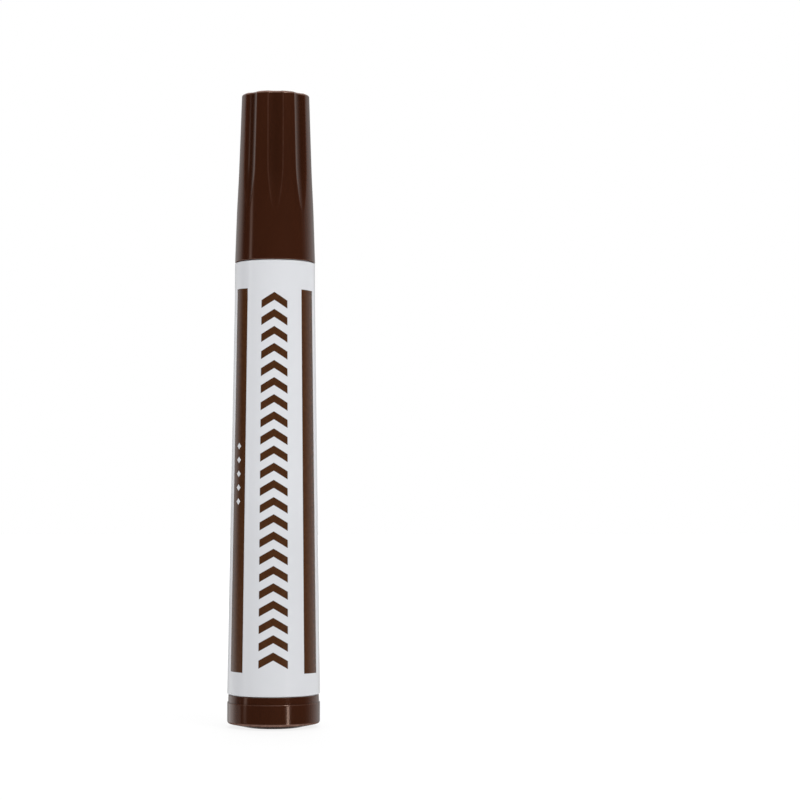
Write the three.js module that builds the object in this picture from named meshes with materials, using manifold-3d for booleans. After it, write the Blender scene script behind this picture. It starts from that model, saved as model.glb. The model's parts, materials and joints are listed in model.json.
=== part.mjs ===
// Furniture touch-up pen: a fibre-tip marker with a pull-off cap, standing on its tail plug.
// Millimetres, +Z up. The origin is the centre of the plug's flat end, and -Y is the printed front.

import * as THREE from "three";
import { mergeVertices } from "three/addons/utils/BufferGeometryUtils.js";
import Module from "manifold-3d";

const wasm = await Module();
wasm.setup();

// Clearances
const FACE_GAP = 0.1; // between flat faces that bear on each other
const SEAT_GAP = 0.3; // along the axis, between a piece and its stop
const PRESS_GAP = 0.12; // radial, in a press fit
const SLIDE_GAP = 0.2; // radial, between the cap's bore and the neck
const WRAP_GAP = 0.03; // between a film and what it is wrapped round

// Tail plug
const PLUG_FLAT_DIAMETER = 10.7; // the face that the pen stands on
const PLUG_BEVEL_HEIGHT = 0.95; // from the flat up to the head's edge
const PLUG_HEAD_HEIGHT = 3.75; // the straight band above the bevel
const PLUG_EDGE_ROUND = 0.3; // on the head's lower edge
const PLUG_COLLAR_HEIGHT = 1.35; // the narrower band under the barrel
const PLUG_COLLAR_STEP = 0.16; // how far the collar stands back from the head's rounded upper edge
const PLUG_FLOOR = 2.4; // thickness of the plug's closed end
const PLUG_SPIGOT_LENGTH = 6.6; // what is pressed into the barrel
const PLUG_SPIGOT_WALL = 1.2;
const PLUG_CROSS_WIDTH = 1.1; // the cross in the spigot that the reservoir stands on
const PLUG_CROSS_RISE = 0.5; // how far the cross stands out of the spigot

// Barrel
const BARREL_LENGTH = 81.65; // from the tail face to the shoulder under the cap
const BARREL_TAIL_DIAMETER = 17.2;
const BARREL_SHOULDER_DIAMETER = 14.95;
const BARREL_STRAIGHT = 7; // the stretch under the shoulder that has no taper
const BARREL_WALL = 1.2;
const SHOULDER_THICKNESS = 1.6; // along the axis, where the bore steps in to the neck
const NECK_LENGTH = 10; // what the cap is pushed onto
const NECK_WALL = 1.1;
const NECK_CHAMFER = 0.4;
const RIB_COUNT = 6; // lengthwise ribs in the bore that centre the reservoir
const RIB_WIDTH = 0.8;
const RIB_HEIGHT = 0.25; // at the narrow end of the bore
const RIB_LEAD = 2; // from the plug's seat to the start of the ribs

// Snap beads: one round the neck, which the one in the cap is pulled over
const BEAD_HEIGHT = 0.08;
const BEAD_WIDTH = 1;
const CAP_BEAD_LIFT = 2.6; // from the cap's mouth to the middle of its bead
const BEAD_SPACING = 1.4; // from the cap's bead up to the neck's bead

// Label
const LABEL_THICKNESS = 0.12;
const LABEL_MARGIN = 0.6; // bare barrel at both ends of the label

// Ink reservoir and its wrap
const RESERVOIR_WRAP_THICKNESS = 0.12;

// Nib holder
const HOLDER_SPIGOT_LENGTH = 8; // what is pressed into the neck
const HOLDER_FLANGE_THICKNESS = 1;
const HOLDER_FLANGE_INSET = 0.1; // how far the flange stands back from the neck
const HOLDER_CONE_HEIGHT = 2;
const HOLDER_LAND_LENGTH = 3.4; // the cylinder that the cap's liner seals on
const HOLDER_LIP_HEIGHT = 0.6;
const HOLDER_LIP_WALL = 1;
const VENT_COUNT = 4; // air slots along the nib
const VENT_WIDTH = 0.8;
const VENT_DEPTH = 0.6;

// Nib
const NIB_DIAMETER = 4.9;
const NIB_REACH = 6; // how far the tip stands out of the holder
const NIB_BULLET_LENGTH = 4.4; // the rounded part of the tip
const NIB_BITE = 4.5; // how deep the tail of the nib is pushed into the reservoir
const NIB_TAIL_CHAMFER = 0.6;

// Cap liner
const LINER_WALL = 0.8;
const LINER_ROOF = 0.9;
const LINER_HEADROOM = 6.4; // above the nib
const LINER_LEAD_IN = 0.4; // chamfer in its mouth
const SEAL_GAP = 0.12; // radial, between the liner and the holder's land

// Cap
const CAP_TOP_DIAMETER = 13.15; // across the lands between the flutes
const CAP_MOUTH_WALL = 1.05;
const CAP_TOP_WALL = 0.85; // under the flutes
const CAP_ROOF = 1.6;
const CAP_ROOF_GAP = 0.2; // between the liner and the cap's roof
const CAP_TOP_ROUND = 0.5;
const CAP_MOUTH_CHAMFER = 0.25;
const FLUTE_COUNT = 8;
const FLUTE_DEPTH = 0.45;
const FLUTE_RADIUS = 3.6; // of the hollow, across the flute
const FLUTE_LENGTH = 23; // from the top down to where the flute has run out
const FLUTE_RUN_OUT = 7.5; // the lower stretch, where the depth falls evenly to nothing

// Facets
const ROUND_SIDES = 48;
const NIB_SIDES = 24;
const CAP_SIDES = 8 * FLUTE_COUNT;
const CORNER_STEPS = 3;
const BULLET_STEPS = 6;

// Heights, from the tail up
const plugHeadTop = PLUG_BEVEL_HEIGHT + PLUG_HEAD_HEIGHT;
const plugTop = plugHeadTop + PLUG_COLLAR_HEIGHT;
const spigotTop = plugTop + PLUG_SPIGOT_LENGTH;
const barrelTail = plugTop + FACE_GAP;
const crossTop = spigotTop + PLUG_CROSS_RISE;
const plugSeatEnd = spigotTop + SEAT_GAP;
const shoulder = barrelTail + BARREL_LENGTH;
const taperEnd = shoulder - BARREL_STRAIGHT;
const boreStep = shoulder - SHOULDER_THICKNESS;
const neckTop = shoulder + NECK_LENGTH;
const reservoirTail = crossTop + SEAT_GAP;
const reservoirFront = boreStep - SEAT_GAP;
const holderSeat = neckTop + FACE_GAP;
const holderConeBottom = holderSeat + HOLDER_FLANGE_THICKNESS;
const holderConeTop = holderConeBottom + HOLDER_CONE_HEIGHT;
const holderLandTop = holderConeTop + HOLDER_LAND_LENGTH;
const holderFront = holderLandTop + HOLDER_LIP_HEIGHT;
const nibTip = holderFront + NIB_REACH;
const nibTail = reservoirFront - NIB_BITE;
const linerMouth = holderConeTop + SEAT_GAP;
const linerCeiling = nibTip + LINER_HEADROOM;
const linerTop = linerCeiling + LINER_ROOF;
const capMouth = shoulder + FACE_GAP;
const capCeiling = linerTop + CAP_ROOF_GAP;
const capTop = capCeiling + CAP_ROOF;
const capBead = capMouth + CAP_BEAD_LIFT;
const neckBead = capBead + BEAD_SPACING;
const fluteEnd = capTop - FLUTE_LENGTH;

// Radii, from the outside in
const tailRadius = BARREL_TAIL_DIAMETER / 2;
const shoulderRadius = BARREL_SHOULDER_DIAMETER / 2;
const labelProud = WRAP_GAP + LABEL_THICKNESS;
const plugRadius = tailRadius + labelProud;
const collarRadius = plugRadius - PLUG_COLLAR_STEP;
const spigotRadius = tailRadius - BARREL_WALL - PRESS_GAP;
const spigotBore = spigotRadius - PLUG_SPIGOT_WALL;
const capMouthRadius = shoulderRadius + labelProud;
const capTopRadius = CAP_TOP_DIAMETER / 2;
const capBore = capMouthRadius - CAP_MOUTH_WALL;
const capTopBore = capTopRadius - FLUTE_DEPTH - CAP_TOP_WALL;
const neckRadius = capBore - SLIDE_GAP;
const neckBore = neckRadius - NECK_WALL;
const frontBore = shoulderRadius - BARREL_WALL;
const ribInner = Math.min(shoulderRadius, tailRadius) - BARREL_WALL - RIB_HEIGHT;
const wrapRadius = ribInner - PRESS_GAP;
const reservoirRadius = wrapRadius - RESERVOIR_WRAP_THICKNESS - WRAP_GAP;
const linerRadius = capTopBore - PRESS_GAP;
const linerBore = linerRadius - LINER_WALL;
const landRadius = linerBore - SEAL_GAP;
const nibRadius = NIB_DIAMETER / 2;
const nibBore = nibRadius + PRESS_GAP;

// The barrel's outside at a height: a cone up to where the taper ends, then a cylinder.
function barrelRadius(height) {
  const share = Math.min((height - barrelTail) / (taperEnd - barrelTail), 1);
  return tailRadius + (shoulderRadius - tailRadius) * share;
}

// Points along an arc in a profile, with angles in degrees from the radius axis.
function arc(centreRadius, centreHeight, radius, from, to, steps) {
  return Array.from({ length: steps + 1 }, (_, step) => {
    const angle = THREE.MathUtils.degToRad(from + ((to - from) * step) / steps);
    return [centreRadius + radius * Math.cos(angle), centreHeight + radius * Math.sin(angle)];
  });
}

// A low bead on a wall that runs up along Z. A negative height stands towards the axis.
function bead(wallRadius, middle, height) {
  const half = BEAD_WIDTH / 2;
  return [
    [wallRadius, middle - half],
    [wallRadius + height, middle - half / 2],
    [wallRadius + height, middle + half / 2],
    [wallRadius, middle + half],
  ];
}

// A solid of revolution about Z from [radius, height] points, with the material on their left.
function turned(profile, sides) {
  const points = profile.map(([radius, height]) => new THREE.Vector2(radius, height));
  return new THREE.LatheGeometry(points, sides).rotateX(Math.PI / 2);
}

function toSolid(geometry) {
  const bare = geometry.clone();
  bare.deleteAttribute("normal");
  bare.deleteAttribute("uv");
  const merged = mergeVertices(bare);
  const vertProperties = new Float32Array(merged.attributes.position.array);
  const triVerts = new Uint32Array(merged.index.array);
  return new wasm.Manifold(new wasm.Mesh({ numProp: 3, vertProperties, triVerts }));
}

function toGeometry(solid) {
  const { vertProperties, triVerts } = solid.getMesh();
  const geometry = new THREE.BufferGeometry();
  geometry.setAttribute("position", new THREE.BufferAttribute(vertProperties, 3));
  geometry.setIndex(new THREE.BufferAttribute(triVerts, 1));
  geometry.computeVertexNormals();
  return geometry;
}

// Copies of one geometry, evenly spaced round Z.
function ringOf(geometry, count) {
  return Array.from({ length: count }, (_, turn) => geometry.clone().rotateZ((2 * Math.PI * turn) / count));
}

function join(geometry, additions) {
  return toGeometry(additions.reduce((whole, one) => whole.add(toSolid(one)), toSolid(geometry)));
}

function cut(geometry, cutters) {
  return toGeometry(cutters.reduce((whole, one) => whole.subtract(toSolid(one)), toSolid(geometry)));
}

// The brown plug that closes the tail: a bevelled head, a collar, and a hollow spigot with a cross in it.
function tailPlug() {
  const lower = PLUG_EDGE_ROUND;
  const upper = PLUG_COLLAR_STEP;
  const bevel = Math.atan2(PLUG_BEVEL_HEIGHT, plugRadius - PLUG_FLAT_DIAMETER / 2);
  const bevelFacing = THREE.MathUtils.radToDeg(bevel) - 90;
  const body = turned(
    [
      [0, 0],
      [PLUG_FLAT_DIAMETER / 2, 0],
      ...arc(plugRadius - lower, PLUG_BEVEL_HEIGHT + lower, lower, bevelFacing, 0, CORNER_STEPS),
      ...arc(collarRadius, plugHeadTop - upper, upper, 0, 90, CORNER_STEPS),
      [collarRadius, plugTop],
      [spigotRadius, plugTop],
      [spigotRadius, spigotTop],
      [spigotBore, spigotTop],
      [spigotBore, PLUG_FLOOR],
      [0, PLUG_FLOOR],
    ],
    ROUND_SIDES,
  );
  const sunk = PLUG_SPIGOT_WALL / 2;
  const height = crossTop - PLUG_FLOOR + sunk;
  const bar = new THREE.BoxGeometry(2 * (spigotBore + sunk), PLUG_CROSS_WIDTH, height);
  bar.translate(0, 0, crossTop - height / 2);
  return join(body, [bar, bar.clone().rotateZ(Math.PI / 2)]);
}

// The white tube, with its neck in front and six ribs inside.
function barrel() {
  const seat = tailRadius - BARREL_WALL;
  const body = turned(
    [
      [seat, barrelTail],
      [tailRadius, barrelTail],
      [shoulderRadius, taperEnd],
      [shoulderRadius, shoulder],
      [neckRadius, shoulder],
      ...bead(neckRadius, neckBead, BEAD_HEIGHT),
      [neckRadius, neckTop - NECK_CHAMFER],
      [neckRadius - NECK_CHAMFER, neckTop],
      [neckBore, neckTop],
      [neckBore, boreStep],
      [frontBore, boreStep],
      [frontBore, taperEnd],
      [barrelRadius(plugSeatEnd) - BARREL_WALL, plugSeatEnd],
      [seat, plugSeatEnd],
      [seat, barrelTail],
    ],
    ROUND_SIDES,
  );
  const sunk = BARREL_WALL / 2;
  const ribTail = plugSeatEnd + RIB_LEAD;
  const ribFront = boreStep + sunk;
  const outline = new THREE.Shape();
  outline.moveTo(ribInner, ribTail);
  outline.lineTo(barrelRadius(ribTail) - sunk, ribTail);
  outline.lineTo(shoulderRadius - sunk, taperEnd);
  outline.lineTo(shoulderRadius - sunk, ribFront);
  outline.lineTo(ribInner, ribFront);
  const rib = new THREE.ExtrudeGeometry(outline, { depth: RIB_WIDTH, bevelEnabled: false });
  rib.rotateX(Math.PI / 2).translate(0, RIB_WIDTH / 2, 0);
  return join(body, ringOf(rib, RIB_COUNT));
}

// The printed film round the barrel.
function labelSleeve() {
  const tailEnd = barrelTail + LABEL_MARGIN;
  const frontEnd = shoulder - LABEL_MARGIN;
  const inner = [tailEnd, taperEnd, frontEnd].map((height) => [barrelRadius(height) + WRAP_GAP, height]);
  const outer = inner.map(([radius, height]) => [radius + LABEL_THICKNESS, height]);
  return turned([inner[0], ...outer, ...inner.reverse()], ROUND_SIDES);
}

// The fibre rod that holds the ink, with the hole that the nib is pushed into.
function inkReservoir() {
  const holeEnd = nibTail - SEAT_GAP;
  return turned(
    [
      [0, reservoirTail],
      [reservoirRadius, reservoirTail],
      [reservoirRadius, reservoirFront],
      [nibBore, reservoirFront],
      [nibBore, holeEnd],
      [0, holeEnd],
    ],
    ROUND_SIDES,
  );
}

// The thin film round the fibre rod, open at both ends.
function reservoirWrap() {
  const inner = wrapRadius - RESERVOIR_WRAP_THICKNESS;
  return turned(
    [
      [inner, reservoirTail],
      [wrapRadius, reservoirTail],
      [wrapRadius, reservoirFront],
      [inner, reservoirFront],
      [inner, reservoirTail],
    ],
    ROUND_SIDES,
  );
}

// The white nose that is pressed into the neck and holds the nib, with air slots along its bore.
function nibHolder() {
  const rear = holderSeat - HOLDER_SPIGOT_LENGTH;
  const spigot = neckBore - PRESS_GAP;
  const flange = neckRadius - HOLDER_FLANGE_INSET;
  const body = turned(
    [
      [nibBore, rear],
      [spigot, rear],
      [spigot, holderSeat],
      [flange, holderSeat],
      [flange, holderConeBottom],
      [landRadius, holderConeTop],
      [landRadius, holderLandTop],
      [nibBore + HOLDER_LIP_WALL, holderFront],
      [nibBore, holderFront],
      [nibBore, rear],
    ],
    ROUND_SIDES,
  );
  const past = FACE_GAP;
  const height = holderFront - rear + 2 * past;
  const slot = new THREE.BoxGeometry(nibBore + VENT_DEPTH, VENT_WIDTH, height);
  slot.translate((nibBore + VENT_DEPTH) / 2, 0, rear - past + height / 2);
  return cut(body, ringOf(slot, VENT_COUNT));
}

// The felt nib: a rod with a bullet tip and a bevelled tail.
function nib() {
  const bulletStart = nibTip - NIB_BULLET_LENGTH;
  const bullet = arc(0, 0, 1, 0, 90, BULLET_STEPS).map(([across, along]) => [
    nibRadius * across,
    bulletStart + NIB_BULLET_LENGTH * along,
  ]);
  bullet[BULLET_STEPS][0] = 0;
  return turned(
    [
      [0, nibTail],
      [nibRadius - NIB_TAIL_CHAMFER, nibTail],
      [nibRadius, nibTail + NIB_TAIL_CHAMFER],
      ...bullet,
    ],
    NIB_SIDES,
  );
}

// The cup inside the cap that seals on the nib holder.
function capLiner() {
  return turned(
    [
      [0, linerCeiling],
      [linerBore, linerCeiling],
      [linerBore, linerMouth + LINER_LEAD_IN],
      [linerBore + LINER_LEAD_IN, linerMouth],
      [linerRadius, linerMouth],
      [linerRadius, linerTop],
      [0, linerTop],
    ],
    ROUND_SIDES,
  );
}

// A spindle that hollows out one flute and comes out of the cap's surface where the flute ends.
function fluteCutter(slope) {
  const length = FLUTE_LENGTH / Math.cos(slope) + FLUTE_DEPTH;
  const spindle = turned(
    [
      [0, 0],
      [FLUTE_RADIUS - FLUTE_DEPTH, 0],
      [FLUTE_RADIUS, FLUTE_RUN_OUT],
      [FLUTE_RADIUS, length],
      [0, length],
    ],
    ROUND_SIDES,
  );
  const endRadius = capMouthRadius - (fluteEnd - capMouth) * Math.tan(slope);
  spindle.rotateX(-slope);
  return spindle.translate(0, -(endRadius + FLUTE_RADIUS - FLUTE_DEPTH), fluteEnd);
}

// The brown cap: a cone with shallow flutes round its upper part, hollow for the neck and the liner.
function cap() {
  const slope = Math.atan((capMouthRadius - capTopRadius) / (capTop - capMouth));
  const body = turned(
    [
      [0, capCeiling],
      [capTopBore, capCeiling],
      [capTopBore, linerMouth],
      [capBore, holderConeBottom + SEAT_GAP],
      ...bead(capBore, capBead, -BEAD_HEIGHT).reverse(),
      [capBore, capMouth + CAP_MOUTH_CHAMFER],
      [capBore + CAP_MOUTH_CHAMFER, capMouth],
      [capMouthRadius, capMouth],
      ...arc(capTopRadius - CAP_TOP_ROUND, capTop - CAP_TOP_ROUND, CAP_TOP_ROUND, 0, 90, CORNER_STEPS),
      [0, capTop],
    ],
    CAP_SIDES,
  );
  return cut(body, ringOf(fluteCutter(slope), FLUTE_COUNT));
}

const whitePlastic = new THREE.MeshStandardMaterial({ color: 0xe6e7ea, roughness: 0.4, metalness: 0 });
const brownPlastic = new THREE.MeshStandardMaterial({ color: 0x3a1d11, roughness: 0.3, metalness: 0 });
const printedFilm = new THREE.MeshStandardMaterial({ color: 0xe2e3e8, roughness: 0.35, metalness: 0 });
const clearFilm = new THREE.MeshStandardMaterial({ color: 0xcfd2d2, roughness: 0.2, metalness: 0 });
const inkedFibre = new THREE.MeshStandardMaterial({ color: 0x4a2614, roughness: 0.95, metalness: 0 });
const naturalPlastic = new THREE.MeshStandardMaterial({ color: 0xdcdcd6, roughness: 0.5, metalness: 0 });

function piece(name, geometry, material) {
  const mesh = new THREE.Mesh(geometry, material);
  mesh.name = name;
  return mesh;
}

const penBody = new THREE.Group();
penBody.add(
  piece("tail_plug", tailPlug(), brownPlastic),
  piece("barrel", barrel(), whitePlastic),
  piece("label_sleeve", labelSleeve(), printedFilm),
  piece("ink_reservoir", inkReservoir(), inkedFibre),
  piece("reservoir_wrap", reservoirWrap(), clearFilm),
  piece("nib_holder", nibHolder(), whitePlastic),
  piece("nib", nib(), inkedFibre),
);

const capAssembly = new THREE.Group();
capAssembly.add(piece("cap_liner", capLiner(), naturalPlastic), piece("cap", cap(), brownPlastic));

const pen = new THREE.Group();
pen.add(penBody, capAssembly);

export default pen;
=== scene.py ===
# Furniture touch-up pen: a fibre-tip marker with a pull-off cap, standing on its tail plug.
# Metres, +Z up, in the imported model's frame, and the printed front faces -Y.

import json
from math import asin, cos, exp, hypot, pi, radians, sin, sqrt, tan

import bmesh
import bpy
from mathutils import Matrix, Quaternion, Vector, noise


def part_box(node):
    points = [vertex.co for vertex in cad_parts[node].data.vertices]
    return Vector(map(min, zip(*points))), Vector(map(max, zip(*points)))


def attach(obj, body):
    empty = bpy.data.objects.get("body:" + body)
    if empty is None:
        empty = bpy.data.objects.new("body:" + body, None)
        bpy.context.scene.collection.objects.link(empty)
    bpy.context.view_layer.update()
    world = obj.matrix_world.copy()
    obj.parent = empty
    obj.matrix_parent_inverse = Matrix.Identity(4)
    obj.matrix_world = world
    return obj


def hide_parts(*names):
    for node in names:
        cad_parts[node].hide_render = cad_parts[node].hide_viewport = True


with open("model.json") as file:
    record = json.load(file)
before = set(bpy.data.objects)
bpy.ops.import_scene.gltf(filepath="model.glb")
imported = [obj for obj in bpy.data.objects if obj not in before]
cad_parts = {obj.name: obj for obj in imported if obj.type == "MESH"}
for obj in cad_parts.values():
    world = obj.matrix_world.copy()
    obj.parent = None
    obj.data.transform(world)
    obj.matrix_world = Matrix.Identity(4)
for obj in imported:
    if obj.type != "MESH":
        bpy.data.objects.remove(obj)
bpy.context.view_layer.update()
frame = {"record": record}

# Camera
# A long lens at a third of the pen's height. It is aimed to the right of the pen, so that the
# pen stands left of the middle of the picture and fills most of its height.
MM = 0.001
IMAGE_SIDE = 800  # pixels
FOCAL_LENGTH = 2206  # in pixels of that picture
EYE_COLUMN, EYE_ROW = 274.5, 508.8  # where the picture shows the pen's axis at the camera's height
EYE_DISTANCE = 420 * MM
EYE_HEIGHT = 41.1 * MM
ROLL = radians(0.03)

camera_data = bpy.data.cameras.new("camera")
camera_data.lens = camera_data.sensor_width * FOCAL_LENGTH / IMAGE_SIDE
camera = bpy.data.objects.new("camera", camera_data)
camera.location = (0, -EYE_DISTANCE, EYE_HEIGHT)
aim = Vector((IMAGE_SIDE / 2 - EYE_COLUMN, FOCAL_LENGTH, EYE_ROW - IMAGE_SIDE / 2))
turn = aim.to_track_quat("-Z", "Y") @ Quaternion((0, 0, 1), ROLL)
camera.rotation_euler = turn.to_euler()
bpy.context.collection.objects.link(camera)
bpy.context.scene.camera = camera
bpy.context.scene.view_settings.view_transform = "Standard"


# Stage and light
# A light table of opal acrylic in a product studio: a broad light overhead that leans to the front, a
# softbox to the front right, a light high behind, pale walls, and darkness round the camera.
def wire(tree, kind, values=None, **settings):
    """Adds a shader node, with its settings, and sets or links the inputs that values names."""
    node = tree.nodes.new("ShaderNode" + kind)
    for name, setting in settings.items():
        setattr(node, name, setting)
    for name, value in (values or {}).items():
        if isinstance(value, bpy.types.NodeSocket):
            tree.links.new(value, node.inputs[name])
        else:
            node.inputs[name].default_value = value
    return node


def calc(tree, operation, *terms):
    """The output of a Math node on the terms."""
    return wire(tree, "Math", dict(enumerate(terms)), operation=operation).outputs[0]


def total(tree, terms):
    """The sum of the terms."""
    result = terms[0]
    for term in terms[1:]:
        result = calc(tree, "ADD", result, term)
    return result


def ramp(tree, value, start, end, low=0.0, high=1.0):
    """A smooth rise from low to high while value goes from start to end."""
    values = {"Value": value, "From Min": start, "From Max": end, "To Min": low, "To Max": high}
    return wire(tree, "MapRange", values, interpolation_type="SMOOTHSTEP").outputs[0]


def band(tree, value, start, end, soft):
    """1 while value lies between start and end, with edges as soft as the last number."""
    rise = ramp(tree, value, start - soft, start + soft)
    return calc(tree, "MULTIPLY", rise, ramp(tree, value, end + soft, end - soft))


def mix(tree, share, first, second):
    """The first colour, turning into the second as the share goes to 1."""
    return wire(tree, "Mix", {0: share, 6: first, 7: second}, data_type="RGBA").outputs[2]


def speckle(tree, where, scale, detail=2.0):
    """Cloudy noise between 0 and 1, with features of about one metre over the scale."""
    return wire(tree, "TexNoise", {"Vector": where, "Scale": scale, "Detail": detail}).outputs[0]


def new_material(name):
    """A material with its node tree and its Principled shader."""
    material = bpy.data.materials.new(name)
    material.use_nodes = True
    tree = material.node_tree
    return material, tree, tree.nodes["Principled BSDF"]


FLOOR_RADIUS = 3.0
FLOOR_DROP = 0.02 * MM  # keeps the floor clear of the plug's flat end
FLOOR_SIDES = 96
OPAL_GREYS = (0.13, 0.13, 0.13, 1), (0.15, 0.15, 0.15, 1)
HAZE_PER_METRE = 400
GLOW_DISTANCES = (0.05, 0.3)  # from the pen, between which the table's glow grows
GLOW_STRENGTHS = (0.83, 0.95)

floor_mesh = bpy.data.meshes.new("floor")
floor_shape = bmesh.new()
bmesh.ops.create_circle(floor_shape, cap_ends=True, segments=FLOOR_SIDES, radius=FLOOR_RADIUS)
floor_shape.to_mesh(floor_mesh)
floor_shape.free()
floor = bpy.data.objects.new("floor", floor_mesh)
floor.location.z = -FLOOR_DROP
floor.visible_glossy = False
bpy.context.collection.objects.link(floor)

opal, tree, shader = new_material("opal_table")
where = wire(tree, "TexCoord").outputs["Object"]
haze = speckle(tree, where, HAZE_PER_METRE, 3)
tree.links.new(mix(tree, haze, *OPAL_GREYS), shader.inputs["Base Color"])
shader.inputs["Roughness"].default_value = 0.8
shader.inputs["Specular IOR Level"].default_value = 0.1
from_pen = wire(tree, "VectorMath", {0: where}, operation="LENGTH").outputs["Value"]
shader.inputs["Emission Color"].default_value = (1, 1, 1, 1)
glow = ramp(tree, from_pen, *GLOW_DISTANCES, *GLOW_STRENGTHS)
tree.links.new(glow, shader.inputs["Emission Strength"])
floor_mesh.materials.append(opal)

world = bpy.data.worlds.new("studio")
world.use_nodes = True
bpy.context.scene.world = world
tree = world.node_tree
direction = wire(tree, "SeparateXYZ", {0: wire(tree, "TexCoord").outputs["Generated"]}).outputs
to_camera = calc(tree, "MULTIPLY", direction["Y"], -1)
azimuth = calc(tree, "DEGREES", calc(tree, "ARCTAN2", direction["X"], to_camera))  # right is positive
sideways = calc(tree, "ABSOLUTE", azimuth)
elevation = calc(tree, "DEGREES", calc(tree, "ARCSINE", direction["Z"]))


def lamp(across, edges, heights, soft, strength):
    """A soft-edged light between two azimuths and two elevations, in degrees."""
    spread = band(tree, across, *edges, soft)
    rise = band(tree, elevation, *heights, soft)
    return calc(tree, "MULTIPLY", calc(tree, "MULTIPLY", spread, rise), strength)


WALL_FOOT = (-18, -10)  # degrees over which a wall fades in from below
WALL_HEAD = (50, 24)  # and from above
WALL_BACK = (135, 165)  # degrees round from the front over which it dims
WALL_BACK_SHARE = 0.65


def wall(start, end, strength):
    """A pale wall that grows from one azimuth to another and runs on, dimmer, round the back."""
    dimming = ramp(tree, sideways, *WALL_BACK, 1, WALL_BACK_SHARE)
    spread = calc(tree, "MULTIPLY", ramp(tree, azimuth, start, end), dimming)
    rise = calc(tree, "MULTIPLY", ramp(tree, elevation, *WALL_FOOT), ramp(tree, elevation, *WALL_HEAD))
    return calc(tree, "MULTIPLY", calc(tree, "MULTIPLY", spread, rise), strength)


GLOOM = 0.003
LEAN_TO_FRONT, LEAN_TO_RIGHT, LEAN_LEAST = 2.0, 0.3, 0.1  # of the overhead light
OVERHEAD_HEIGHTS = (24, 50)
OVERHEAD_STRENGTH = 1.14
TABLE_FADE = (140, 45)  # degrees round from the front over which the table's reflection grows
TABLE_HEIGHTS = (-80, -20)
TABLE_SOFT = 6
TABLE_STRENGTH = 1.25

towards_front = calc(tree, "MULTIPLY_ADD", to_camera, LEAN_TO_FRONT, 1)
towards_right = calc(tree, "MULTIPLY_ADD", direction["X"], LEAN_TO_RIGHT, towards_front)
lean = calc(tree, "MAXIMUM", towards_right, LEAN_LEAST)
overhead = ramp(tree, elevation, *OVERHEAD_HEIGHTS, 0, OVERHEAD_STRENGTH)
table_fade = ramp(tree, sideways, *TABLE_FADE, 0, TABLE_STRENGTH)
table_rise = band(tree, elevation, *TABLE_HEIGHTS, TABLE_SOFT)
lamps = [
    calc(tree, "MULTIPLY", overhead, lean),
    wall(79, 129, 0.68),
    wall(-101, -127, 0.74),
    lamp(azimuth, (-150, -90), (-14, -3.4), 1.5, 0.5),  # a low screen before it
    lamp(azimuth, (-80, -72), (-4.8, 12.5), 2, 1.3),  # strip light on the left
    lamp(sideways, (150, 190), (30, 60), 8, 2.5),  # high behind
    lamp(azimuth, (30, 42), (26, 41), 3, 12.0),  # softbox
    lamp(azimuth, (33.5, 38.5), (-24, -4.4), 0.5, 10.0),  # foot of its stand
    calc(tree, "MULTIPLY", table_fade, table_rise),  # the table in front
    lamp(sideways, (140, 190), (-45, -20), 6, 0.08),  # the table behind
]
light = total(tree, [GLOOM, *lamps])
seen = wire(tree, "LightPath").outputs["Is Camera Ray"]
backdrop = tree.nodes["Background"]
backdrop.inputs["Color"].default_value = (1, 1, 1, 1)
tree.links.new(calc(tree, "MAXIMUM", light, seen), backdrop.inputs["Strength"])


# Barrel
# The white tube, injection-moulded in polypropylene, with the neck that takes the cap in one piece
# with it. Six ribs in its bore centre the reservoir, and a low bead on the neck holds the cap.
ARC_STEPS = 6
FLAT_START = 1.2  # where the flat beside an arc has a point, as a share of the arc's reach
CRISP_ANGLE = radians(40)  # a corner without rounding that turns more than this is shaded crisp


def clamp(value):
    return min(max(value, 0), 1)


def rounded(corners):
    """An outline of (radius, height, edge mark) points from (radius, height, rounding) corners.

    Each rounding becomes an arc with a point on the flat at each side, so that flats are shaded flat.
    The edge mark is 1 half way round an outside corner that turns square, less on gentle ones and 0 on
    flats.
    """
    points = []
    for place, (radius, height, rounding) in enumerate(corners):
        if rounding == 0:
            points.append((radius, height, 0))
            continue
        corner = Vector((radius, height))
        back = (Vector(corners[place - 1][:2]) - corner).normalized()
        ahead = (Vector(corners[(place + 1) % len(corners)][:2]) - corner).normalized()
        half = back.angle(ahead) / 2
        reach = rounding / tan(half)
        centre = corner + (back + ahead).normalized() * rounding / sin(half)
        first = corner + back * reach - centre
        last = corner + ahead * reach - centre
        outside = ahead.cross(back) > 0
        most = clamp((pi - 2 * half) / (pi / 2)) if outside else 0
        points.append((*(corner + back * reach * FLAT_START), 0))
        for step in range(ARC_STEPS + 1):
            share = step / ARC_STEPS
            arc_point = centre + first.slerp(last, share) * rounding
            points.append((*arc_point, most * sin(pi * share)))
        points.append((*(corner + ahead * reach * FLAT_START), 0))
    return points


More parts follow.
